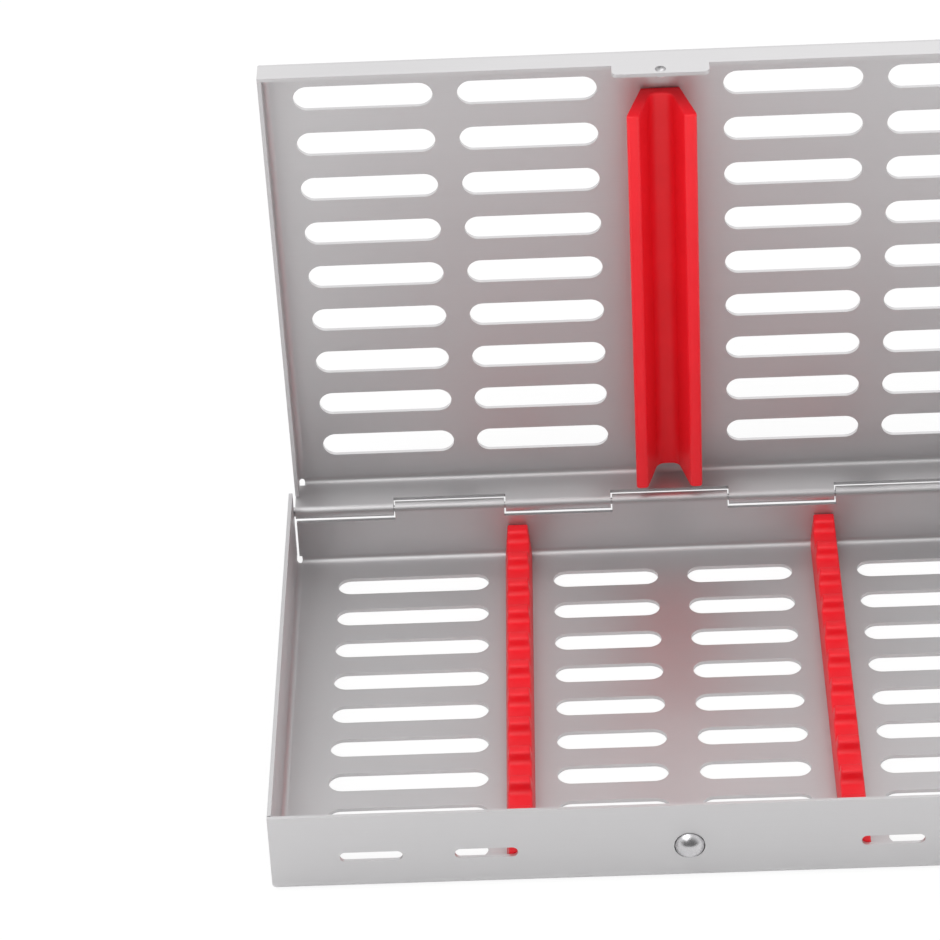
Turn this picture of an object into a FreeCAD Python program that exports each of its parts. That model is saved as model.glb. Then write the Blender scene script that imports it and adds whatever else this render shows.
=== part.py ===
import FreeCAD, Part
import os
from types import SimpleNamespace
import Sketcher

# Instrument cassette: a folded and perforated sheet tray with a hinged lid.
# Millimetres. The origin is the centre of the tray's underside. X runs along the
# hinge, the front wall with the latch button faces -Y, and Z is up.

SIZES = {
    # tray of folded sheet
    "base_width": 204.6,
    "base_depth": 140.0,
    "base_height": 22.6,
    "sheet_gauge": 1.0,
    "bend_radius": 1.6,
    "seam_width": 0.6,
    "relief_radius": 1.45,
    # hinge of rolled knuckles
    "axis_height": 15.9,
    "pin_radius": 0.85,
    "pin_clearance": 0.05,
    "pin_head_radius": 1.3,
    "pin_head_length": 0.6,
    "centre_knuckle": 31.0,
    "inner_knuckle": 29.1,
    "outer_knuckle": 29.4,
    "knuckle_gap": 0.4,
    "window_clearance": 0.4,
    "open_angle": 84.0,
    # lid, which nests inside the walls of the tray
    "nest_clearance": 0.4,
    "lid_rise": 11.3,
    "lid_wall": 7.9,
    "tab_width": 24.4,
    "tab_length": 11.8,
    "tab_corner": 1.5,
    # rows of round-ended slots, the same rows in tray and lid
    "slot_width": 7.2,
    "row_pitch": 14.2,
    "row_count": 9,
    "row_start": 13.7,
    "base_outer_slot_middle": 69.6,
    "base_outer_slot_length": 40.5,
    "base_inner_slot_middle": 17.95,
    "base_inner_slot_length": 28.1,
    "lid_outer_slot_middle": 75.1,
    "lid_inner_slot_middle": 33.6,
    "lid_slot_length": 35.3,
    # small slots in the front wall
    "drain_height": 10.0,
    "drain_width": 2.8,
    "drain_length": 15.4,
    "outer_drain_middle": 77.6,
    "inner_drain_middle": 49.5,
    # silicone rails across the tray floor
    "rail_middle": 41.2,
    "rail_width": 6.3,
    "rail_height": 10.0,
    "rail_end_gap": 0.2,
    "rail_edge": 0.6,
    "notch_pitch": 12.1,
    "notch_count": 11,
    "notch_length": 8.6,
    "notch_depth": 3.2,
    "notch_radius": 1.4,
    # tongues bent up out of the floor, which hold the rails
    "tongue_width": 3.6,
    "tongue_height": 5.5,
    "tongue_pitch": 45.0,
    "tongue_count": 3,
    # silicone bar under the lid
    "bar_length": 124.6,
    "bar_start": 5.0,
    "bar_root_width": 9.9,
    "bar_lip_width": 17.0,
    "bar_height": 12.7,
    "bar_floor": 2.6,
    "bar_groove_width": 3.0,
    "bar_lip": 2.3,
    "plug_radius": 2.2,
    "plug_head_radius": 4.0,
    "plug_head_height": 1.5,
    "plug_edge": 0.7,
    "plug_pitch": 50.0,
    "plug_count": 3,
    # latch: button through the front wall, leaf spring behind it
    "button_height": 10.2,
    "button_radius": 3.6,
    "button_clearance": 0.2,
    "button_dome": 2.4,
    "button_flange_radius": 4.6,
    "button_flange": 0.8,
    "button_stem_radius": 2.0,
    "seat_gap": 0.05,
    "leaf_gap": 0.3,
    "leaf_gauge": 0.5,
    "leaf_width": 14.0,
    "leaf_height": 20.3,
    "leaf_foot": 5.5,
    "leaf_hole_clearance": 0.4,
    # dimple pressed into the tab, which the leaf's hole catches
    "dimple_drop": 10.0,
    "dimple_radius": 1.7,
    "dimple_depth": 0.9,
    "dimple_edge": 0.6,
    "dimple_dent_radius": 1.4,
    "dimple_dent_lift": 0.3,
}

doc = FreeCAD.newDocument("instrument_cassette")
sheet = doc.addObject("Spreadsheet::Sheet", "Sizes")
for row, (name, number) in enumerate(SIZES.items(), start=1):
    sheet.set(f"A{row}", name)
    sheet.set(f"B{row}", str(number))
    sheet.setAlias(f"B{row}", name)
doc.recompute()


class Size:
    """A size: its number, for drawing, and its expression in the sheet, for binding."""

    def __init__(self, number, text):
        self.number = number
        self.text = text

    def __add__(self, other):
        other = as_size(other)
        return Size(self.number + other.number, f"({self.text} + {other.text})")

    def __sub__(self, other):
        other = as_size(other)
        return Size(self.number - other.number, f"({self.text} - {other.text})")

    def __mul__(self, other):
        other = as_size(other)
        return Size(self.number * other.number, f"({self.text} * {other.text})")

    def __truediv__(self, other):
        other = as_size(other)
        return Size(self.number / other.number, f"({self.text} / {other.text})")

    def __neg__(self):
        return Size(-self.number, f"(0 - {self.text})")


def as_size(thing):
    return thing if isinstance(thing, Size) else Size(float(thing), str(float(thing)))


cell = SimpleNamespace(**{name: Size(number, f"Sizes.{name}") for name, number in SIZES.items()})
zero = as_size(0.0)

# Places worked out from the sizes.
base_half = cell.base_width / 2
front_face = -(cell.base_depth / 2)
rear_face = cell.base_depth / 2
bore_radius = cell.pin_radius + cell.pin_clearance
knuckle_radius = bore_radius + cell.sheet_gauge
axis_place = rear_face + bore_radius
window_drop = knuckle_radius + cell.window_clearance
centre_end = cell.centre_knuckle / 2
inner_end = centre_end + cell.inner_knuckle
outer_end = inner_end + cell.outer_knuckle
lid_half = base_half - cell.sheet_gauge - cell.nest_clearance
first_row = rear_face - cell.row_start
rail_length = cell.base_depth - cell.sheet_gauge * 2 - cell.rail_end_gap * 2
# Places in the lid's own frame, whose origin is on the hinge axis with the lid closed.
lid_rear = -bore_radius
lid_front = front_face + cell.sheet_gauge + cell.nest_clearance - axis_place


def bind(thing, path, size):
    thing.setExpression(path, size.text)


def new_body(label):
    body = doc.addObject("PartDesign::Body", label)
    body.Label = label
    return body


def new_sketch(body, name, plane, offset=zero):
    """A sketch on one of the body's own origin planes, moved along its normal."""
    sketch = body.newObject("Sketcher::SketchObject", name)
    origin_plane = next(f for f in body.Origin.OriginFeatures if f.Role == plane)
    sketch.AttachmentSupport = [(origin_plane, "")]
    sketch.MapMode = "FlatFace"
    sketch.AttachmentOffset = FreeCAD.Placement(
        FreeCAD.Vector(0, 0, offset.number), FreeCAD.Rotation()
    )
    bind(sketch, "AttachmentOffset.Base.z", offset)
    return sketch


def fix(sketch, geometry, point, across, size):
    """Ties one coordinate of a point to the sketch's origin."""
    kind = "DistanceX" if across else "DistanceY"
    if abs(size.number) < 1e-9:
        sketch.addConstraint(
            Sketcher.Constraint("PointOnObject", geometry, point, -2 if across else -1)
        )
        return
    if size.number < 0:
        ends = (geometry, point, -1, 1)
        size = -size
    else:
        ends = (-1, 1, geometry, point)
    index = sketch.addConstraint(Sketcher.Constraint(kind, *ends, size.number))
    bind(sketch, f"Constraints[{index}]", size)


def draw_polygon(sketch, corners):
    """A closed outline of straight lines through corners given as pairs of sizes."""
    first = sketch.GeometryCount
    count = len(corners)
    points = [FreeCAD.Vector(x.number, y.number, 0) for x, y in corners]
    for k in range(count):
        sketch.addGeometry(Part.LineSegment(points[k], points[(k + 1) % count]), False)
    for k in range(count):
        after = first + (k + 1) % count
        sketch.addConstraint(Sketcher.Constraint("Coincident", first + k, 2, after, 1))
    for k, (x, y) in enumerate(corners):
        fix(sketch, first + k, 1, True, x)
        fix(sketch, first + k, 1, False, y)


def draw_box(sketch, left, right, low, high):
    draw_polygon(sketch, [(left, low), (right, low), (right, high), (left, high)])


def draw_circle(sketch, x, y, radius):
    centre = FreeCAD.Vector(x.number, y.number, 0)
    normal = FreeCAD.Vector(0, 0, 1)
    index = sketch.addGeometry(Part.Circle(centre, normal, radius.number), False)
    fix(sketch, index, 3, True, x)
    fix(sketch, index, 3, False, y)
    constraint = sketch.addConstraint(Sketcher.Constraint("Radius", index, radius.number))
    bind(sketch, f"Constraints[{constraint}]", radius)


def draw_slot(sketch, middle, height, length, width):
    """A round-ended slot that runs along the sketch's first axis."""
    radius = width / 2
    reach = length / 2 - radius
    left, right = middle - reach, middle + reach
    quarter = 1.5707963
    normal = FreeCAD.Vector(0, 0, 1)
    left_circle = Part.Circle(FreeCAD.Vector(left.number, height.number, 0), normal, radius.number)
    right_circle = Part.Circle(FreeCAD.Vector(right.number, height.number, 0), normal, radius.number)
    low, high = height.number - radius.number, height.number + radius.number
    a = sketch.addGeometry(Part.ArcOfCircle(left_circle, quarter, 3 * quarter), False)
    b = sketch.addGeometry(
        Part.LineSegment(FreeCAD.Vector(left.number, low, 0), FreeCAD.Vector(right.number, low, 0)), False
    )
    c = sketch.addGeometry(Part.ArcOfCircle(right_circle, -quarter, quarter), False)
    d = sketch.addGeometry(
        Part.LineSegment(FreeCAD.Vector(right.number, high, 0), FreeCAD.Vector(left.number, high, 0)), False
    )
    for one, two in ((a, b), (b, c), (c, d), (d, a)):
        sketch.addConstraint(Sketcher.Constraint("Tangent", one, 2, two, 1))
    sketch.addConstraint(Sketcher.Constraint("Horizontal", b))
    sketch.addConstraint(Sketcher.Constraint("Equal", a, c))
    fix(sketch, a, 3, True, left)
    fix(sketch, a, 3, False, height)
    fix(sketch, c, 3, True, right)
    constraint = sketch.addConstraint(Sketcher.Constraint("Radius", a, radius.number))
    bind(sketch, f"Constraints[{constraint}]", radius)


def pad(body, sketch, length, symmetric=False):
    feature = body.newObject("PartDesign::Pad", sketch.Name + "_pad")
    feature.Profile = sketch
    feature.SideType = "Symmetric" if symmetric else "One side"
    bind(feature, "Length", length)
    return feature


def pocket(body, sketch, depth=None, reverse=False):
    """Cuts against the sketch's normal, along it when reversed, or both ways without a depth."""
    feature = body.newObject("PartDesign::Pocket", sketch.Name + "_pocket")
    feature.Profile = sketch
    if depth is None:
        feature.SideType = "Symmetric"
        feature.Type = "ThroughAll"
    else:
        feature.Reversed = reverse
        bind(feature, "Length", depth)
    return feature


def repeat(body, feature, sketch, axis, pitch, count, backwards=False):
    """A row of copies of a feature; the row becomes the body's tip."""
    pattern = body.newObject("PartDesign::LinearPattern", feature.Name + "_row")
    pattern.Originals = [feature]
    pattern.Direction = (sketch, [axis])
    pattern.Reversed = backwards
    pattern.Mode = "Extent"
    bind(pattern, "Length", pitch * (count - 1))
    bind(pattern, "Occurrences", count)
    body.Tip = pattern
    return pattern


def round_edges(body, name, wanted, radius):
    """Fillets the edges of the body's tip that pass the test."""
    doc.recompute()
    base = body.Tip
    names = [f"Edge{k}" for k, edge in enumerate(base.Shape.Edges, start=1) if wanted(edge)]
    feature = body.newObject("PartDesign::Fillet", name)
    feature.Base = (base, names)
    bind(feature, "Radius", radius)
    return feature


def flat_at(height, axis="z"):
    """Test for an edge that lies wholly in one plane across an axis."""

    def test(edge):
        box = edge.BoundBox
        low, high = getattr(box, axis.upper() + "Min"), getattr(box, axis.upper() + "Max")
        return abs(low - height.number) < 1e-4 and abs(high - height.number) < 1e-4

    return test


def ball_cut(body, name, x, y, z, radius):
    ball = body.newObject("PartDesign::SubtractiveSphere", name)
    bind(ball, "Radius", radius)
    for path, size in (("x", x), ("y", y), ("z", z)):
        bind(ball, f"Placement.Base.{path}", size)
    return ball


def relief_hole(body, name, x, y, start, depth):
    """A round hole, upwards from the start, where the bends meet in a corner."""
    hole = new_sketch(body, name, "XY_Plane", start)
    draw_circle(hole, x, y, cell.relief_radius)
    pocket(body, hole, depth, reverse=True)


def hinge_barrels(body, stretches, axis_y, axis_z, reach):
    """Knuckles on the stretches given as pairs of places along X, then one bore through them all."""
    for k, (start, end) in enumerate(stretches):
        ring = new_sketch(body, f"{body.Name}_knuckle_{k}", "YZ_Plane", start)
        draw_circle(ring, axis_y, axis_z, knuckle_radius)
        pad(body, ring, end - start)
    bore = new_sketch(body, f"{body.Name}_bore", "YZ_Plane", -reach)
    draw_circle(bore, axis_y, axis_z, bore_radius)
    pocket(body, bore, reach * 2, reverse=True)


def both_sides(start, end):
    """The stretch from start to end, and its mirror image."""
    return [(start, end), (-end, -start)]


def make_base_tray():
    body = new_body("base_tray")
    gauge = cell.sheet_gauge
    outline = new_sketch(body, "tray_outline", "XY_Plane")
    draw_box(outline, -base_half, base_half, front_face, rear_face)
    pad(body, outline, cell.base_height)
    round_edges(body, "tray_outer_bends", flat_at(zero), cell.bend_radius + gauge)
    inside = new_sketch(body, "tray_inside", "XY_Plane", cell.base_height)
    draw_box(inside, gauge - base_half, base_half - gauge, front_face + gauge, rear_face - gauge)
    pocket(body, inside, cell.base_height - gauge)
    round_edges(body, "tray_inner_bends", flat_at(gauge), cell.bend_radius)

    # the rear wall ends at the hinge axis, and lower where the lid's knuckles turn
    behind = -(rear_face + gauge)
    above = cell.base_height + gauge
    inner_half = base_half - gauge
    top = new_sketch(body, "rear_wall_top", "XZ_Plane", behind)
    draw_box(top, -inner_half, inner_half, cell.axis_height, above)
    pocket(body, top, gauge * 3, reverse=True)
    sill = cell.axis_height - window_drop
    for k, (start, end) in enumerate(both_sides(centre_end, inner_end) + both_sides(outer_end, inner_half)):
        window = new_sketch(body, f"tray_window_{k}", "XZ_Plane", behind)
        draw_box(window, start, end, sill, above)
        pocket(body, window, gauge * 3, reverse=True)

    # open seams at the corners, and a round relief where each rear seam meets the bends
    bend_top = gauge + cell.bend_radius
    for k, side in enumerate((-1, 1)):
        rear_seam = new_sketch(body, f"rear_seam_{k}", "XZ_Plane", behind)
        edges = sorted((inner_half * side, (inner_half - cell.seam_width) * side), key=lambda e: e.number)
        draw_box(rear_seam, *edges, gauge, above)
        pocket(body, rear_seam, gauge * 3, reverse=True)
        seam_place = (base_half + gauge) * side
        front_seam = new_sketch(body, f"front_seam_{k}", "YZ_Plane", seam_place)
        wall_inside = front_face + gauge
        draw_box(front_seam, wall_inside, wall_inside + cell.seam_width / 2, bend_top, above)
        pocket(body, front_seam, gauge * 3, reverse=side < 0)
        relief_hole(body, f"relief_{k}", inner_half * side, rear_face - gauge, -gauge, bend_top + gauge)

    # perforated floor
    row = new_sketch(body, "floor_row", "XY_Plane")
    for side in (-1, 1):
        outer, inner = cell.base_outer_slot_middle * side, cell.base_inner_slot_middle * side
        draw_slot(row, outer, first_row, cell.base_outer_slot_length, cell.slot_width)
        draw_slot(row, inner, first_row, cell.base_inner_slot_length, cell.slot_width)
    cut = pocket(body, row)
    repeat(body, cut, row, "V_Axis", cell.row_pitch, cell.row_count, backwards=True)

    # front wall: four small slots and the round hole of the button
    before = -(front_face - gauge)
    drains = new_sketch(body, "front_drains", "XZ_Plane", before)
    for side in (-1, 1):
        for middle in (cell.outer_drain_middle, cell.inner_drain_middle):
            draw_slot(drains, middle * side, cell.drain_height, cell.drain_length, cell.drain_width)
    pocket(body, drains, gauge * 3)
    hole = new_sketch(body, "button_hole", "XZ_Plane", before)
    draw_circle(hole, zero, cell.button_height, cell.button_radius + cell.button_clearance)
    pocket(body, hole, gauge * 3)

    # tongues cut out of the floor under the rails and bent upright
    for k, side in enumerate((-1, 1)):
        middle = cell.rail_middle * side
        left, right = middle - cell.tongue_width / 2, middle + cell.tongue_width / 2
        start = cell.tongue_pitch * (cell.tongue_count - 1) / 2
        gap = new_sketch(body, f"tongue_window_{k}", "XY_Plane")
        draw_box(gap, left, right, start, start + cell.tongue_height)
        cut = pocket(body, gap)
        repeat(body, cut, gap, "V_Axis", cell.tongue_pitch, cell.tongue_count, backwards=True)
        root = new_sketch(body, f"tongue_{k}", "XY_Plane")
        draw_box(root, left, right, start - gauge, start)
        tongue = pad(body, root, gauge + cell.tongue_height)
        repeat(body, tongue, root, "V_Axis", cell.tongue_pitch, cell.tongue_count, backwards=True)

    stretches = [(-centre_end, centre_end)] + both_sides(inner_end, outer_end)
    hinge_barrels(body, stretches, axis_place, cell.axis_height, base_half)
    return body


def hang_on_hinge(body):
    """Moves a body drawn in the lid's frame to the hinge axis and opens it."""
    body.Placement = FreeCAD.Placement(
        FreeCAD.Vector(0, 0, 0), FreeCAD.Rotation(FreeCAD.Vector(1, 0, 0), -cell.open_angle.number)
    )
    bind(body, "Placement.Base.y", axis_place)
    bind(body, "Placement.Base.z", cell.axis_height)
    bind(body, "Placement.Rotation.Angle", -cell.open_angle)


def make_lid():
    body = new_body("lid")
    gauge = cell.sheet_gauge
    wall_edge = cell.lid_rise - cell.lid_wall
    rear_inside = lid_rear - gauge
    front_inside = lid_front + gauge
    inner_half = lid_half - gauge
    outline = new_sketch(body, "lid_outline", "XY_Plane", wall_edge)
    draw_box(outline, -lid_half, lid_half, lid_front, lid_rear)
    pad(body, outline, cell.lid_wall)
    round_edges(body, "lid_outer_bends", flat_at(cell.lid_rise), cell.bend_radius + gauge)
    inside = new_sketch(body, "lid_inside", "XY_Plane", wall_edge)
    draw_box(inside, -inner_half, inner_half, front_inside, rear_inside)
    pocket(body, inside, cell.lid_wall - gauge, reverse=True)
    round_edges(body, "lid_inner_bends", flat_at(cell.lid_rise - gauge), cell.bend_radius)

    # the rear wall reaches down to the hinge axis, and is cut back above the tray's knuckles
    skirt = new_sketch(body, "lid_skirt", "XY_Plane")
    draw_box(skirt, -lid_half, lid_half, rear_inside, lid_rear)
    pad(body, skirt, wall_edge + gauge)
    behind = -(lid_rear + gauge)
    gap = cell.knuckle_gap
    windows = [(-centre_end - gap, centre_end + gap)] + both_sides(inner_end - gap, outer_end + gap)
    for k, (start, end) in enumerate(windows):
        window = new_sketch(body, f"lid_window_{k}", "XZ_Plane", behind)
        draw_box(window, start, end, -gauge, window_drop)
        pocket(body, window, gauge * 3, reverse=True)

    # open seams and round reliefs at the rear corners
    for k, side in enumerate((-1, 1)):
        seam = new_sketch(body, f"lid_seam_{k}", "YZ_Plane", (lid_half + gauge) * side)
        seam_top = cell.lid_rise - gauge - cell.bend_radius
        draw_box(seam, rear_inside - cell.seam_width, rear_inside, wall_edge - gauge, seam_top)
        pocket(body, seam, gauge * 3, reverse=side < 0)
        relief_hole(body, f"lid_relief_{k}", inner_half * side, rear_inside, seam_top, gauge * 4)

    # perforated plate
    row = new_sketch(body, "lid_row", "XY_Plane", cell.lid_rise)
    row_place = first_row - axis_place
    for side in (-1, 1):
        for middle in (cell.lid_outer_slot_middle, cell.lid_inner_slot_middle):
            draw_slot(row, middle * side, row_place, cell.lid_slot_length, cell.slot_width)
    cut = pocket(body, row, gauge * 2)
    repeat(body, cut, row, "V_Axis", cell.row_pitch, cell.row_count, backwards=True)

    # round holes for the plugs of the silicone bar
    holes = new_sketch(body, "plug_hole", "XY_Plane", cell.lid_rise)
    draw_circle(holes, zero, first_plug(), cell.plug_radius)
    cut = pocket(body, holes, gauge * 2)
    repeat(body, cut, holes, "V_Axis", cell.plug_pitch, cell.plug_count, backwards=True)

    # latch tab below the front wall, with a dimple pressed inwards
    tab_end = cell.lid_rise - cell.tab_length
    tab = new_sketch(body, "latch_tab", "XY_Plane", tab_end)
    draw_box(tab, -(cell.tab_width / 2), cell.tab_width / 2, lid_front, front_inside)
    pad(body, tab, cell.tab_length - cell.lid_wall + gauge)

    def tab_corner(edge):
        box = edge.BoundBox
        return flat_at(tab_end)(edge) and abs(box.XLength) < 1e-4 and box.YLength > gauge.number / 2

    round_edges(body, "tab_corners", tab_corner, cell.tab_corner)
    dimple_place = cell.lid_rise - cell.dimple_drop
    bump = new_sketch(body, "dimple", "XZ_Plane", -front_inside)
    draw_circle(bump, zero, dimple_place, cell.dimple_radius)
    grown = pad(body, bump, cell.dimple_depth)
    grown.Reversed = True
    bump_face = front_inside + cell.dimple_depth
    round_edges(body, "dimple_edge", flat_at(bump_face, "y"), cell.dimple_edge)
    dent_place = lid_front - cell.dimple_dent_lift
    ball_cut(body, "dimple_dent", zero, dent_place, dimple_place, cell.dimple_dent_radius)

    stretches = both_sides(centre_end + gap, inner_end - gap) + both_sides(outer_end + gap, lid_half)
    hinge_barrels(body, stretches, zero, zero, base_half)
    hang_on_hinge(body)
    return body


def bar_middle():
    """Middle of the silicone bar along the lid, in the lid's frame."""
    return lid_rear - cell.bar_start - cell.bar_length / 2


def first_plug():
    return bar_middle() + cell.plug_pitch * (cell.plug_count - 1) / 2


def make_hinge_pin():
    """Pin through all the knuckles, with a peened head on each end."""
    span = lid_half * 2
    pin = doc.addObject("Part::Cylinder", "pin_shaft")
    bind(pin, "Radius", cell.pin_radius)
    bind(pin, "Height", span + cell.pin_clearance * 4)
    lie_along_x(pin, -lid_half - cell.pin_clearance * 2)
    pieces = [pin]
    for name, start in (
        ("left_head", -lid_half - cell.pin_clearance * 2 - cell.pin_head_length),
        ("right_head", lid_half + cell.pin_clearance * 2),
    ):
        head = doc.addObject("Part::Cylinder", name)
        bind(head, "Radius", cell.pin_head_radius)
        bind(head, "Height", cell.pin_head_length)
        lie_along_x(head, start)
        pieces.append(head)
    fuse = doc.addObject("Part::MultiFuse", "hinge_pin")
    fuse.Label = "hinge_pin"
    fuse.Shapes = pieces
    return fuse


def lie_along_x(cylinder, start):
    cylinder.Placement = FreeCAD.Placement(
        FreeCAD.Vector(0, 0, 0), FreeCAD.Rotation(FreeCAD.Vector(0, 1, 0), 90)
    )
    bind(cylinder, "Placement.Base.x", start)
    bind(cylinder, "Placement.Base.y", axis_place)
    bind(cylinder, "Placement.Base.z", cell.axis_height)


def make_rail(label, side):
    """A silicone rail across the tray, with a row of rounded notches and blind pockets for the tongues."""
    body = new_body(label)
    half = cell.rail_width / 2
    block = new_sketch(body, label + "_block", "YZ_Plane", -half)
    floor = cell.sheet_gauge
    crest = floor + cell.rail_height
    draw_box(block, -(rail_length / 2), rail_length / 2, floor, crest)
    pad(body, block, cell.rail_width)

    def long_top_edge(edge):
        return flat_at(crest)(edge) and edge.BoundBox.YLength > cell.rail_width.number

    round_edges(body, label + "_edges", long_top_edge, cell.rail_edge)

    notch = new_sketch(body, label + "_notch", "YZ_Plane")
    start = -(cell.notch_pitch * (cell.notch_count - 1) / 2)
    low = crest - cell.notch_depth
    draw_box(notch, start - cell.notch_length / 2, start + cell.notch_length / 2, low, crest + floor)
    cut = pocket(body, notch)
    repeat(body, cut, notch, "H_Axis", cell.notch_pitch, cell.notch_count)

    def notch_floor_edge(edge):
        return flat_at(low)(edge) and edge.BoundBox.YLength < 1e-4

    round_edges(body, label + "_notch_floors", notch_floor_edge, cell.notch_radius)

    pocket_start = cell.tongue_pitch * (cell.tongue_count - 1) / 2
    hole = new_sketch(body, label + "_pocket", "XY_Plane", floor)
    reach = cell.tongue_width / 2
    draw_box(hole, -reach, reach, pocket_start - cell.sheet_gauge, pocket_start)
    cut = pocket(body, hole, cell.tongue_height, reverse=True)
    repeat(body, cut, hole, "V_Axis", cell.tongue_pitch, cell.tongue_count, backwards=True)
    bind(body, "Placement.Base.x", cell.rail_middle * side)
    return body


def make_hold_down_bar():
    """A silicone gutter under the lid that holds the instruments down, with plugs through the plate."""
    body = new_body("hold_down_bar")
    root = cell.lid_rise - cell.sheet_gauge
    lip = root - cell.bar_height
    profile = new_sketch(body, "bar_profile", "XZ_Plane", -bar_middle())
    root_half = cell.bar_root_width / 2
    lip_half = cell.bar_lip_width / 2
    groove_half = cell.bar_groove_width / 2
    draw_polygon(
        profile,
        [
            (-root_half, root),
            (-lip_half, lip),
            (cell.bar_lip - lip_half, lip),
            (-groove_half, root - cell.bar_floor),
            (groove_half, root - cell.bar_floor),
            (lip_half - cell.bar_lip, lip),
            (lip_half, lip),
            (root_half, root),
        ],
    )
    pad(body, profile, cell.bar_length, symmetric=True)

    neck = new_sketch(body, "plug_neck", "XY_Plane", root)
    draw_circle(neck, zero, first_plug(), cell.plug_radius)
    raised = pad(body, neck, cell.sheet_gauge)
    repeat(body, raised, neck, "V_Axis", cell.plug_pitch, cell.plug_count, backwards=True)
    head = new_sketch(body, "plug_head", "XY_Plane", cell.lid_rise)
    draw_circle(head, zero, first_plug(), cell.plug_head_radius)
    raised = pad(body, head, cell.plug_head_height)
    repeat(body, raised, head, "V_Axis", cell.plug_pitch, cell.plug_count, backwards=True)
    round_edges(body, "plug_edges", flat_at(cell.lid_rise + cell.plug_head_height), cell.plug_edge)
    hang_on_hinge(body)
    return body


def button_cylinder(name, radius, start, length):
    """A cylinder on the button's axis, which runs along Y."""
    cylinder = doc.addObject("Part::Cylinder", name)
    bind(cylinder, "Radius", radius)
    bind(cylinder, "Height", length)
    cylinder.Placement = FreeCAD.Placement(
        FreeCAD.Vector(0, 0, 0), FreeCAD.Rotation(FreeCAD.Vector(1, 0, 0), -90)
    )
    bind(cylinder, "Placement.Base.y", start)
    bind(cylinder, "Placement.Base.z", cell.button_height)
    return cylinder


def make_latch_button():
    """Domed push button: a shank in the front wall's hole, a flange behind it and a stem to the leaf."""
    wall_inside = front_face + cell.sheet_gauge
    tip = front_face - cell.button_dome
    flange_start = wall_inside + cell.seat_gap
    shank = button_cylinder("button_shank", cell.button_radius, tip, flange_start - tip)
    ball = doc.addObject("Part::Sphere", "button_ball")
    dome_radius = (cell.button_radius * cell.button_radius / cell.button_dome + cell.button_dome) / 2
    bind(ball, "Radius", dome_radius)
    bind(ball, "Placement.Base.y", tip + dome_radius)
    bind(ball, "Placement.Base.z", cell.button_height)
    dome = doc.addObject("Part::Common", "button_dome")
    dome.Base = shank
    dome.Tool = ball
    flange = button_cylinder(
        "button_flange", cell.button_flange_radius, flange_start, cell.button_flange
    )
    leaf_face = leaf_place() - cell.seat_gap
    stem = button_cylinder("button_stem", cell.button_stem_radius, flange_start, leaf_face - flange_start)
    fuse = doc.addObject("Part::MultiFuse", "latch_button")
    fuse.Label = "latch_button"
    fuse.Shapes = [dome, flange, stem]
    return fuse


def leaf_place():
    """Front face of the leaf spring: behind the closed lid's tab, with a running gap."""
    return front_face + cell.sheet_gauge * 2 + cell.nest_clearance + cell.leaf_gap


def make_latch_spring():
    """Upright leaf on a short foot. Its hole catches the dimple of the lid's tab."""
    body = new_body("latch_spring")
    face = leaf_place()
    floor = cell.sheet_gauge
    profile = new_sketch(body, "leaf_profile", "YZ_Plane")
    draw_polygon(
        profile,
        [
            (face, floor),
            (face + cell.leaf_foot, floor),
            (face + cell.leaf_foot, floor + cell.leaf_gauge),
            (face + cell.leaf_gauge, floor + cell.leaf_gauge),
            (face + cell.leaf_gauge, cell.leaf_height),
            (face, cell.leaf_height),
        ],
    )
    pad(body, profile, cell.leaf_width, symmetric=True)
    hole = new_sketch(body, "leaf_hole", "XZ_Plane", -face + cell.leaf_gauge)
    catch_height = cell.axis_height + cell.lid_rise - cell.dimple_drop
    draw_circle(hole, zero, catch_height, cell.dimple_radius + cell.leaf_hole_clearance)
    pocket(body, hole, cell.leaf_gauge * 3)
    return body


parts = {
    "base_tray": make_base_tray(),
    "lid": make_lid(),
    "hinge_pin": make_hinge_pin(),
    "left_rail": make_rail("left_rail", -1),
    "right_rail": make_rail("right_rail", 1),
    "hold_down_bar": make_hold_down_bar(),
    "latch_button": make_latch_button(),
    "latch_spring": make_latch_spring(),
}
doc.recompute()

for thing in doc.Objects:
    if "Invalid" in thing.State or "Error" in thing.State:
        raise RuntimeError(f"{thing.Name} is {thing.State}")

os.makedirs("parts", exist_ok=True)
for node, thing in parts.items():
    shape = thing.Shape
    if shape.isNull() or not shape.isValid():
        raise RuntimeError(f"{node} has no valid shape")
    shape.exportStep(f"parts/{node}.step")
    box = shape.BoundBox
    print(f"{node}: {len(shape.Solids)} solid, {shape.Volume:.1f} mm3, "
          f"x {box.XMin:.1f} {box.XMax:.1f}, y {box.YMin:.1f} {box.YMax:.1f}, z {box.ZMin:.1f} {box.ZMax:.1f}")
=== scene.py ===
import math

import bmesh
import bpy
from mathutils import Matrix, Vector


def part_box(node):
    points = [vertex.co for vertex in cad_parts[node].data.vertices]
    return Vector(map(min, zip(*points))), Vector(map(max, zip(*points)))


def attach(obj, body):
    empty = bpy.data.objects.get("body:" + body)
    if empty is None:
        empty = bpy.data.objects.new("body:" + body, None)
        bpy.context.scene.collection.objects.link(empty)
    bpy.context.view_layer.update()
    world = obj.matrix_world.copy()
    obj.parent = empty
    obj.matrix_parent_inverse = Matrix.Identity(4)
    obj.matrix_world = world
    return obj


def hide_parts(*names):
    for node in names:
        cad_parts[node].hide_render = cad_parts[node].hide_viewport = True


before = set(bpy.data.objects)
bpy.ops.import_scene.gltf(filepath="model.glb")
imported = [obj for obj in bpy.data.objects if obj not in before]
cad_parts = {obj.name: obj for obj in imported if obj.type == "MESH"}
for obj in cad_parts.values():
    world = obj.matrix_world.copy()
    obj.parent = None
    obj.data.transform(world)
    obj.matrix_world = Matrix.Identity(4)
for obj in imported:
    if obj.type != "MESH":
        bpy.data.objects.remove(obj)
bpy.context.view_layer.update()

MM = 0.001
SMOOTH_ANGLE = 35

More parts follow.
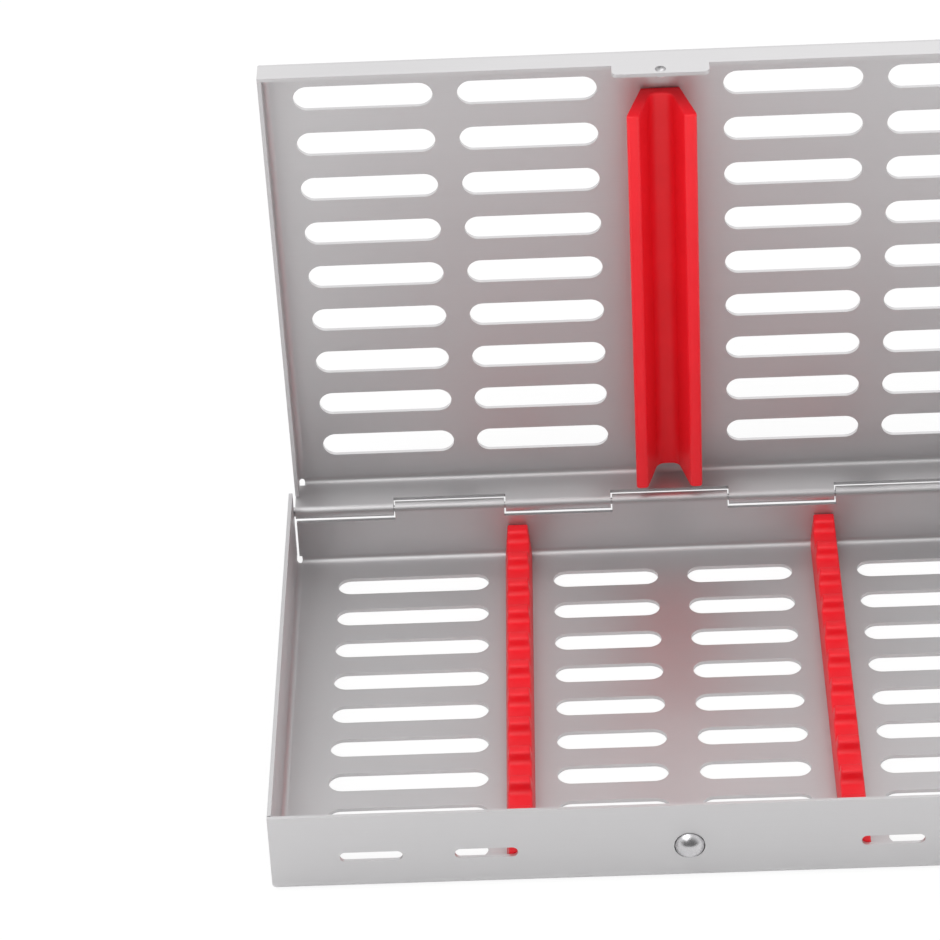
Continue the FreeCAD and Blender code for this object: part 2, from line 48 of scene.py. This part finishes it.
# The board under the cassette is painted matt white, and the cassette stands loose on
# it. The camera sees it nearly plain white, with a faint shadow around the tray.


def linear(hex_colour):
    """Linear red, green, blue and alpha of a colour written as #rrggbb."""
    channels = [int(hex_colour[k:k + 2], 16) / 255 for k in (1, 3, 5)]
    return tuple(c / 12.92 if c <= 0.04045 else ((c + 0.055) / 1.055) ** 2.4
                 for c in channels) + (1.0,)


def node(tree, kind, settings=None, inputs=None, links=()):
    """Adds one node with its settings and inputs, and links (source socket, own input) pairs."""
    made = tree.nodes.new(kind)
    for key, value in (settings or {}).items():
        setattr(made, key, value)
    for key, value in (inputs or {}).items():
        made.inputs[key].default_value = value
    for source, target in links:
        tree.links.new(source, made.inputs[target])
    return made


def empty_material(name):
    material = bpy.data.materials.new(name)
    material.use_nodes = True
    material.node_tree.nodes.clear()
    return material, material.node_tree


def give_material(piece, material):
    piece.data.materials.clear()
    piece.data.materials.append(material)


def mesh_piece(name, bm, material):
    """Turns a bmesh in millimetres into a piece in metres."""
    bmesh.ops.scale(bm, vec=(MM, MM, MM), verts=bm.verts)
    bmesh.ops.recalc_face_normals(bm, faces=bm.faces)
    mesh = bpy.data.meshes.new(name)
    bm.to_mesh(mesh)
    bm.free()
    mesh.shade_smooth()
    mesh.set_sharp_from_angle(angle=math.radians(SMOOTH_ANGLE))
    piece = bpy.data.objects.new(name, mesh)
    bpy.context.scene.collection.objects.link(piece)
    give_material(piece, material)
    return piece


BOARD_COLOUR = "#f7f7f7"
BOARD_HALF = 1500.0
BOARD_DROP = 0.05
BOARD_WHITE_SHARE = 0.86

board_paint, tree = empty_material("matt_white_board_paint")
board_diffuse = node(tree, "ShaderNodeBsdfDiffuse",
                     inputs={"Color": linear(BOARD_COLOUR), "Roughness": 1.0})
board_white = node(tree, "ShaderNodeEmission", inputs={"Color": (1, 1, 1, 1), "Strength": 1.0})
rays = node(tree, "ShaderNodeLightPath")
seen = node(tree, "ShaderNodeMath", {"operation": "MAXIMUM"},
            links=[(rays.outputs["Is Camera Ray"], 0), (rays.outputs["Is Transmission Ray"], 1)])
share = node(tree, "ShaderNodeMath", {"operation": "MULTIPLY"}, {1: BOARD_WHITE_SHARE},
             [(seen.outputs[0], 0)])
board_mix = node(tree, "ShaderNodeMixShader", links=[
    (share.outputs[0], 0), (board_diffuse.outputs[0], 1), (board_white.outputs[0], 2)])
node(tree, "ShaderNodeOutputMaterial", links=[(board_mix.outputs[0], "Surface")])

bm = bmesh.new()
bmesh.ops.create_grid(bm, x_segments=1, y_segments=1, size=BOARD_HALF)
bmesh.ops.translate(bm, vec=(0, 0, -BOARD_DROP), verts=bm.verts)
board = mesh_piece("board", bm, board_paint)

# The white cloth is the world, and the camera sees it plain white. The steel reflects it
# white above and behind the cassette and in shade towards the camera, on the open side of
# the room, where most of the soft light on rubber and board comes from. The turning places
# are measured along Y, from -1 towards the camera to 1 behind the cassette.
FRONT_REFLECTION, BACK_REFLECTION = 0.15, 1.03
FRONT_LIGHT, BACK_LIGHT = 1.4, 0.75
OPEN_SIDE, REFLECTION_TURN, LIGHT_TURN = -0.8, 0.0, 0.1

world = bpy.data.worlds.new("white_cloth")
bpy.context.scene.world = world
world.use_nodes = True
tree = world.node_tree
tree.nodes.clear()
rays = node(tree, "ShaderNodeLightPath")
outward = node(tree, "ShaderNodeTexCoord")
parts = node(tree, "ShaderNodeSeparateXYZ", links=[(outward.outputs["Generated"], 0)])
reflected = node(tree, "ShaderNodeMapRange", {"interpolation_type": "SMOOTHSTEP"}, {
    "From Min": OPEN_SIDE, "From Max": REFLECTION_TURN,
    "To Min": FRONT_REFLECTION, "To Max": BACK_REFLECTION},
    [(parts.outputs["Y"], "Value")])
shining = node(tree, "ShaderNodeMapRange", {"interpolation_type": "SMOOTHSTEP"}, {
    "From Min": OPEN_SIDE, "From Max": LIGHT_TURN,
    "To Min": FRONT_LIGHT, "To Max": BACK_LIGHT},
    [(parts.outputs["Y"], "Value")])
level = node(tree, "ShaderNodeMix", {"data_type": "FLOAT"}, links=[
    (rays.outputs["Is Glossy Ray"], "Factor"),
    (shining.outputs[0], "A"), (reflected.outputs[0], "B")])
direct = node(tree, "ShaderNodeMath", {"operation": "MAXIMUM"},
              links=[(rays.outputs["Is Camera Ray"], 0), (rays.outputs["Is Transmission Ray"], 1)])
strength = node(tree, "ShaderNodeMix", {"data_type": "FLOAT"}, {"B": 1.0}, [
    (direct.outputs[0], "Factor"), (level.outputs["Result"], "A")])
cloth = node(tree, "ShaderNodeBackground", inputs={"Color": (1, 1, 1, 1)},
             links=[(strength.outputs["Result"], "Strength")])
node(tree, "ShaderNodeOutputWorld", links=[(cloth.outputs[0], "Surface")])


# Two broad soft boxes hang above the cassette, a stronger one to the left of the camera
# and a weak one behind to the right. They give the bends and the button their highlights.
def soft_lamp(name, place, aim, size, watts):
    """A square soft box, with its place and aim in millimetres."""
    lamp = bpy.data.lights.new(name, "AREA")
    lamp.shape = "SQUARE"
    lamp.size = size * MM
    lamp.energy = watts
    holder = bpy.data.objects.new(name, lamp)
    bpy.context.scene.collection.objects.link(holder)
    place, aim = Vector(place) * MM, Vector(aim) * MM
    holder.rotation_euler = (aim - place).to_track_quat("-Z", "Y").to_euler()
    holder.location = place


LAMP_AIM = (0, 0, 30)
soft_lamp("key_lamp", (-450, -380, 1100), LAMP_AIM, size=1000, watts=5.0)
soft_lamp("back_lamp", (300, 500, 1150), LAMP_AIM, size=700, watts=1.2)

# The camera stands 0.9 m in front of the cassette and 0.7 m above it, with a long lens.
# Its place and turns come from matching the tray's and lid's edges and slots.
CAMERA_PLACE = (-19.604, -897.062, 679.791)
CAMERA_YAW, CAMERA_PITCH, CAMERA_ROLL = 1.993, -33.958, 3.143
LENS, SENSOR_WIDTH = 166.813, 36.0
NEAR_CLIP, FAR_CLIP = 0.01, 20.0

camera_data = bpy.data.cameras.new("camera")
camera_data.sensor_width = SENSOR_WIDTH
camera_data.lens = LENS
camera_data.clip_start = NEAR_CLIP
camera_data.clip_end = FAR_CLIP
camera = bpy.data.objects.new("camera", camera_data)
bpy.context.scene.collection.objects.link(camera)
bpy.context.scene.camera = camera
turn = (Matrix.Rotation(math.radians(CAMERA_YAW), 4, "Z")
        @ Matrix.Rotation(math.radians(CAMERA_PITCH), 4, "X")
        @ Matrix.Rotation(math.radians(CAMERA_ROLL), 4, "Y")
        @ Matrix.Rotation(math.radians(90), 4, "X"))
camera.matrix_world = Matrix.Translation(Vector(CAMERA_PLACE) * MM) @ turn

bpy.context.scene.view_settings.view_transform = "Standard"

# The tray and the lid are punched and folded from 1 mm stainless sheet. The rolling
# mill left a fine grain that runs along the hinge, and years of washing gave the
# sheet a satin haze with faint, wide clouds.
STEEL_COLOUR = "#d8d7d8"
STEEL_HAZE_COLOUR = "#cbcacb"
STEEL_ROUGHNESS = 0.5
GRAIN_WIDTH = 0.35
GRAIN_LENGTH = 45.0
CLOUD_SIZE = 60.0
GRAIN_SHARE, CLOUD_SHARE = 0.45, 0.55
ROUGHNESS_SPREAD = 0.05
GRAIN_BUMP, GRAIN_HEIGHT = 0.12, 0.02


def rolled_steel(name, colour, haze_colour, roughness, grain_width, grain_length):
    """Satin rolled stainless sheet: fine lines along X, drawn coarser than the real ones."""
    material, tree = empty_material(name)
    place = node(tree, "ShaderNodeTexCoord")
    stretch = node(tree, "ShaderNodeMapping", inputs={
        "Scale": (1000 / grain_length, 1000 / grain_width, 1000 / grain_width)},
        links=[(place.outputs["Object"], "Vector")])
    grain = node(tree, "ShaderNodeTexNoise", inputs={"Scale": 1.0, "Detail": 3.0, "Roughness": 0.6},
                 links=[(stretch.outputs[0], "Vector")])
    clouds = node(tree, "ShaderNodeTexNoise", inputs={"Scale": 1000 / CLOUD_SIZE, "Detail": 2.0},
                  links=[(place.outputs["Object"], "Vector")])
    both = node(tree, "ShaderNodeMath", {"operation": "MULTIPLY_ADD"}, {1: GRAIN_SHARE},
                [(grain.outputs["Fac"], 0)])
    cloud_part = node(tree, "ShaderNodeMath", {"operation": "MULTIPLY"}, {1: CLOUD_SHARE},
                      [(clouds.outputs["Fac"], 0)])
    tree.links.new(cloud_part.outputs[0], both.inputs[2])
    tint = node(tree, "ShaderNodeMix", {"data_type": "RGBA"},
                {"A": linear(haze_colour), "B": linear(colour)}, [(both.outputs[0], "Factor")])
    polish = node(tree, "ShaderNodeMapRange", inputs={
        "From Min": 0.3, "From Max": 0.7,
        "To Min": roughness - ROUGHNESS_SPREAD, "To Max": roughness + ROUGHNESS_SPREAD},
        links=[(both.outputs[0], "Value")])
    lines = node(tree, "ShaderNodeBump",
                 inputs={"Strength": GRAIN_BUMP, "Distance": GRAIN_HEIGHT * MM},
                 links=[(grain.outputs["Fac"], "Height")])
    metal = node(tree, "ShaderNodeBsdfPrincipled", inputs={"Metallic": 1.0},
                 links=[(tint.outputs["Result"], "Base Color"), (polish.outputs[0], "Roughness"),
                        (lines.outputs[0], "Normal")])
    node(tree, "ShaderNodeOutputMaterial", links=[(metal.outputs[0], "Surface")])
    return material


sheet_steel = rolled_steel("satin_rolled_stainless_sheet", STEEL_COLOUR, STEEL_HAZE_COLOUR,
                           STEEL_ROUGHNESS, GRAIN_WIDTH, GRAIN_LENGTH)
give_material(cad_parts["base_tray"], sheet_steel)
give_material(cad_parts["lid"], sheet_steel)

# The hinge pin is drawn stainless wire, peened at both ends, and the leaf spring is
# rolled spring strip. Both are a little darker than the sheet.
WIRE_COLOUR = "#cfcecf"
WIRE_HAZE_COLOUR = "#bfbebf"
FINE_GRAIN = 0.2

drawn_wire = rolled_steel("drawn_stainless_wire", WIRE_COLOUR, WIRE_HAZE_COLOUR,
                          roughness=0.3, grain_width=FINE_GRAIN, grain_length=30.0)
give_material(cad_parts["hinge_pin"], drawn_wire)
spring_strip = rolled_steel("rolled_spring_strip", WIRE_COLOUR, WIRE_HAZE_COLOUR,
                            roughness=0.28, grain_width=FINE_GRAIN, grain_length=12.0)
give_material(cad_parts["latch_spring"], spring_strip)

# The latch button is turned from stainless bar and polished on its dome, so it shows
# small bright and dark reflections.
BUTTON_COLOUR = "#cfced0"
BUTTON_POLISH, BUTTON_WEAR, WEAR_SIZE = 0.2, 0.34, 1.5

polished_bar, tree = empty_material("polished_turned_stainless")
place = node(tree, "ShaderNodeTexCoord")
wear = node(tree, "ShaderNodeTexNoise", inputs={"Scale": 1000 / WEAR_SIZE, "Detail": 4.0},
            links=[(place.outputs["Object"], "Vector")])
polish = node(tree, "ShaderNodeMapRange", inputs={"To Min": BUTTON_POLISH, "To Max": BUTTON_WEAR},
              links=[(wear.outputs["Fac"], "Value")])
metal = node(tree, "ShaderNodeBsdfPrincipled",
             inputs={"Metallic": 1.0, "Base Color": linear(BUTTON_COLOUR)},
             links=[(polish.outputs[0], "Roughness")])
node(tree, "ShaderNodeOutputMaterial", links=[(metal.outputs[0], "Surface")])
give_material(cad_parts["latch_button"], polished_bar)

# The rails are moulded from red silicone rubber with a row of rounded notches, one for
# each instrument. They are pushed over tongues bent up from the tray's floor. The rubber
# has a soft sheen, a little depth and a fine moulded skin.
SILICONE_COLOUR = "#ea1a28"
SILICONE_DEEP_COLOUR = "#da1420"
SKIN_GRAIN, BLOTCH_SIZE = 0.4, 14.0
SKIN_SHEEN, SKIN_DULL = 0.38, 0.52
SKIN_BUMP, SKIN_HEIGHT = 0.1, 0.05
SILICONE_DEPTH = 2.0

silicone, tree = empty_material("moulded_red_silicone")
place = node(tree, "ShaderNodeTexCoord")
skin = node(tree, "ShaderNodeTexNoise", inputs={"Scale": 1000 / SKIN_GRAIN, "Detail": 2.0},
            links=[(place.outputs["Object"], "Vector")])
blotches = node(tree, "ShaderNodeTexNoise", inputs={"Scale": 1000 / BLOTCH_SIZE, "Detail": 3.0},
                links=[(place.outputs["Object"], "Vector")])
tint = node(tree, "ShaderNodeMix", {"data_type": "RGBA"},
            {"A": linear(SILICONE_DEEP_COLOUR), "B": linear(SILICONE_COLOUR)},
            [(blotches.outputs["Fac"], "Factor")])
sheen_level = node(tree, "ShaderNodeMapRange", inputs={"To Min": SKIN_SHEEN, "To Max": SKIN_DULL},
                   links=[(skin.outputs["Fac"], "Value")])
skin_bump = node(tree, "ShaderNodeBump",
                 inputs={"Strength": SKIN_BUMP, "Distance": SKIN_HEIGHT * MM},
                 links=[(skin.outputs["Fac"], "Height")])
rubber = node(tree, "ShaderNodeBsdfPrincipled", inputs={
    "IOR": 1.43, "Subsurface Weight": 0.12, "Subsurface Scale": SILICONE_DEPTH * MM,
    "Subsurface Radius": (1.0, 0.2, 0.1)},
    links=[(tint.outputs["Result"], "Base Color"), (sheen_level.outputs[0], "Roughness"),
           (skin_bump.outputs[0], "Normal")])
node(tree, "ShaderNodeOutputMaterial", links=[(rubber.outputs[0], "Surface")])

NOTCH_PITCH, NOTCH_COUNT = 12.1, 11
NOTCH_LENGTH, NOTCH_DEPTH = 8.6, 3.2
NOTCH_FLOOR_RADIUS, CREST_RADIUS = 1.4, 0.9
RAIL_EDGE = 0.55
ARC_STEPS = 5
RAIL_END_RADIUS = 1.6
RAIL_FOOT_WIDTH, RAIL_CREST_WIDTH = 7.3, 5.4


def rounded(points):
    """An outline from (first, second, radius) corners, each turned into an arc."""
    outline = []
    count = len(points)
    for k, (x, y, radius) in enumerate(points):
        corner = Vector((x, y))
        before = Vector(points[k - 1][:2]) - corner
        after = Vector(points[(k + 1) % count][:2]) - corner
        half = before.angle(after) / 2
        reach = radius / math.tan(half)
        start = corner + before.normalized() * reach
        end = corner + after.normalized() * reach
        inward = (before.normalized() + after.normalized()).normalized()
        middle = corner + inward * (radius / math.sin(half))
        first = start - middle
        sweep = first.angle_signed(end - middle)
        for step in range(ARC_STEPS + 1):
            turned = Matrix.Rotation(-sweep * step / ARC_STEPS, 2) @ first
            outline.append(middle + turned)
    return outline


def extruded(outline, place, low, high, edge):
    """An outline drawn out between two ends with rounded rims. place(a, b, along) gives a corner."""
    bm = bmesh.new()
    rings = [[bm.verts.new(place(a, b, along)) for a, b in outline] for along in (low, high)]
    caps = [bm.faces.new(ring) for ring in rings]
    count = len(outline)
    for k in range(count):
        n = (k + 1) % count
        bm.faces.new((rings[0][k], rings[0][n], rings[1][n], rings[1][k]))
    bmesh.ops.recalc_face_normals(bm, faces=bm.faces)
    rims = [e for cap in caps for e in cap.edges]
    bmesh.ops.bevel(bm, geom=rims, offset=edge, offset_type="OFFSET", segments=3, profile=0.5,
                    affect="EDGES", clamp_overlap=False)
    return bm


for side in ("left", "right"):
    low, high = (Vector(corner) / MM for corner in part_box(side + "_rail"))
    floor, crest = low.z, high.z
    corners = [(low.y, floor, RAIL_END_RADIUS), (high.y, floor, RAIL_END_RADIUS),
               (high.y, crest, CREST_RADIUS)]
    for k in reversed(range(NOTCH_COUNT)):
        middle = NOTCH_PITCH * (k - (NOTCH_COUNT - 1) / 2)
        corners += [
            (middle + NOTCH_LENGTH / 2, crest, CREST_RADIUS),
            (middle + NOTCH_LENGTH / 2, crest - NOTCH_DEPTH, NOTCH_FLOOR_RADIUS),
            (middle - NOTCH_LENGTH / 2, crest - NOTCH_DEPTH, NOTCH_FLOOR_RADIUS),
            (middle - NOTCH_LENGTH / 2, crest, CREST_RADIUS),
        ]
    corners.append((low.y, crest, CREST_RADIUS))
    bm = extruded(rounded(corners), lambda a, b, along: (along, a, b),
                  -RAIL_FOOT_WIDTH / 2, RAIL_FOOT_WIDTH / 2, RAIL_EDGE)
    for vert in bm.verts:
        rise = (vert.co.z - floor) / (crest - floor)
        vert.co.x *= 1 - rise * (1 - RAIL_CREST_WIDTH / RAIL_FOOT_WIDTH)
    bmesh.ops.translate(bm, vec=((low.x + high.x) / 2, 0, 0), verts=bm.verts)
    rail = mesh_piece(side + "_rail_rubber", bm, silicone)
    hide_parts(side + "_rail")
    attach(rail, "base")

# The hold-down bar is a flared gutter of the same silicone. Its root lies on the lid,
# three plugs with domed heads pass through the plate, and its lips press the
# instruments into the rails when the lid is closed.
HINGE_Y, HINGE_Z, OPEN_ANGLE = 70.9, 15.9, 84.0
BAR_ROOT, BAR_HEIGHT = 10.3, 12.7
BAR_ROOT_HALF, BAR_LIP_HALF, BAR_LIP = 4.95, 9.15, 3.4
BAR_GROOVE_HALF, BAR_GROOVE_RADIUS, BAR_FLOOR = 2.7, 2.4, 2.6
BAR_NEAR, BAR_FAR = -5.9, -127.7
PLUG_PLACES = (-18.2, -68.2, -118.2)
PLUG_NECK, PLUG_HEAD, PLUG_RISE = 2.2, 4.0, 1.5
PLUG_SINK, SHEET, HEAD_RIM, HEAD_GAP = 0.5, 1.0, 0.3, 0.02
ROOT_EDGE, LIP_EDGE, LIP_CORNER, BAR_END_EDGE = 0.4, 0.9, 1.2, 0.45
PLUG_SIDES, DOME_STEPS = 32, 6

swing = (Matrix.Translation((0, HINGE_Y, HINGE_Z))
         @ Matrix.Rotation(math.radians(-OPEN_ANGLE), 4, "X"))


def add_turned(bm, centre, profile):
    """Adds a shape turned around Z. Its (radius, height) profile starts and ends at radius 0."""
    first = bm.verts.new((0, centre, profile[0][1]))
    last = bm.verts.new((0, centre, profile[-1][1]))
    rings = []
    for radius, height in profile[1:-1]:
        turns = [math.tau * k / PLUG_SIDES for k in range(PLUG_SIDES)]
        rings.append([bm.verts.new((radius * math.cos(t), centre + radius * math.sin(t), height))
                      for t in turns])
    for k in range(PLUG_SIDES):
        n = (k + 1) % PLUG_SIDES
        bm.faces.new((first, rings[0][n], rings[0][k]))
        for below, above in zip(rings, rings[1:]):
            bm.faces.new((below[k], below[n], above[n], above[k]))
        bm.faces.new((rings[-1][k], rings[-1][n], last))


lip = BAR_ROOT - BAR_HEIGHT
corners = [
    (-BAR_ROOT_HALF, BAR_ROOT, ROOT_EDGE), (-BAR_LIP_HALF, lip, LIP_EDGE),
    (BAR_LIP - BAR_LIP_HALF, lip, LIP_CORNER),
    (-BAR_GROOVE_HALF, BAR_ROOT - BAR_FLOOR, BAR_GROOVE_RADIUS),
    (BAR_GROOVE_HALF, BAR_ROOT - BAR_FLOOR, BAR_GROOVE_RADIUS),
    (BAR_LIP_HALF - BAR_LIP, lip, LIP_CORNER),
    (BAR_LIP_HALF, lip, LIP_EDGE), (BAR_ROOT_HALF, BAR_ROOT, ROOT_EDGE),
]
bm = extruded(rounded(corners), lambda a, b, along: (a, along, b), BAR_FAR, BAR_NEAR, BAR_END_EDGE)
plug = [(0, BAR_ROOT - PLUG_SINK), (PLUG_NECK, BAR_ROOT - PLUG_SINK), (PLUG_NECK, BAR_ROOT + SHEET),
        (PLUG_HEAD, BAR_ROOT + SHEET + HEAD_GAP)]
for step in range(DOME_STEPS + 1):
    turned = math.radians(90 * step / DOME_STEPS)
    plug.append((PLUG_HEAD * math.cos(turned),
                 BAR_ROOT + SHEET + HEAD_RIM + (PLUG_RISE - HEAD_RIM) * math.sin(turned)))
for y in PLUG_PLACES:
    add_turned(bm, y, plug)
bmesh.ops.transform(bm, matrix=swing, verts=bm.verts)
bar = mesh_piece("hold_down_bar_rubber", bm, silicone)
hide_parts("hold_down_bar")
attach(bar, "cover")
